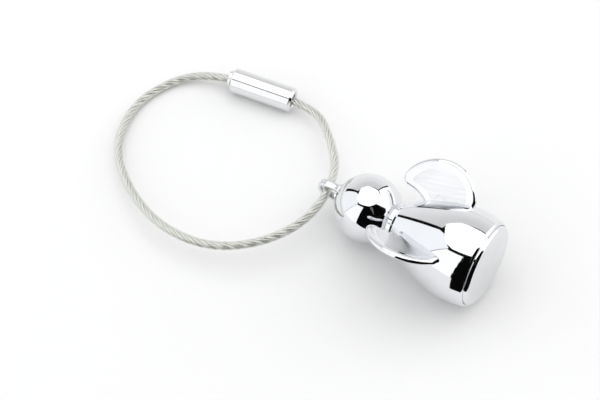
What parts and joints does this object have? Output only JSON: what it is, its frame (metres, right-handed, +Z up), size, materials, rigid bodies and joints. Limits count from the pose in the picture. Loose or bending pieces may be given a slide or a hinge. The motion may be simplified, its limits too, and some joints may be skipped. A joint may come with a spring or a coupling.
{
  "type": "wire ring key charm",
  "caption": "Polished winged figure charm whose head eyelet hangs on a coated wire ring, closed by a screw barrel that unscrews from a stud to let keys on.",
  "frame": {"origin": "on the table, under the middle of the charm's own box (the ring is left out of that box)", "axes": "+Z up from the table, +X from the ball head towards the base disc, +Y towards the right wing; the charm lies face down and is symmetric about XZ"},
  "size_m": [0.0895, 0.0462, 0.0203],
  "materials": {
    "charm_chrome": "mirror-polished chrome plating on a zinc casting",
    "connector_chrome": "polished nickel-chrome plating on turned brass",
    "hidden_steel": "plain turned steel, not seen when assembled",
    "wire_rope": "twisted stainless wire strands",
    "clear_coat": "clear slightly milky extruded plastic coat"
  },
  "bodies": {
    "charm": {"gown_shell": "charm_chrome", "wing_left": "charm_chrome", "wing_right": "charm_chrome", "head": "charm_chrome", "head_eyelet": "charm_chrome", "neck_dowel": "hidden_steel", "base_disc": "charm_chrome"},
    "ring": {"cable_core": "wire_rope", "cable_jacket": "clear_coat", "threaded_stud": "connector_chrome", "stop_ferrule": "hidden_steel"},
    "slip": {"slip_washer": "hidden_steel"},
    "barrel": {"screw_barrel": "connector_chrome"}
  },
  "joints": [
    {"name": "ring_swing", "type": "hinge", "parent": "charm", "child": "ring", "pos_m": [-0.01846, 0, 0.00617], "axis": [-0.119, 0.9921, -0.0397], "continuous": true},
    {"name": "barrel_travel", "type": "slide", "parent": "ring", "child": "slip", "axis": [0.9822, 0.1881, 0], "range_m": [0, 0.00315]},
    {"name": "barrel_turn", "type": "hinge", "parent": "slip", "child": "barrel", "pos_m": [-0.05287, 0.01368, 0.0028], "axis": [0.9822, 0.1881, 0], "range_deg": [0, 1620]}
  ],
  "couplings": [
    {"joint": "barrel_turn", "follows": "barrel_travel", "rad_per_m": 8976}
  ]
}
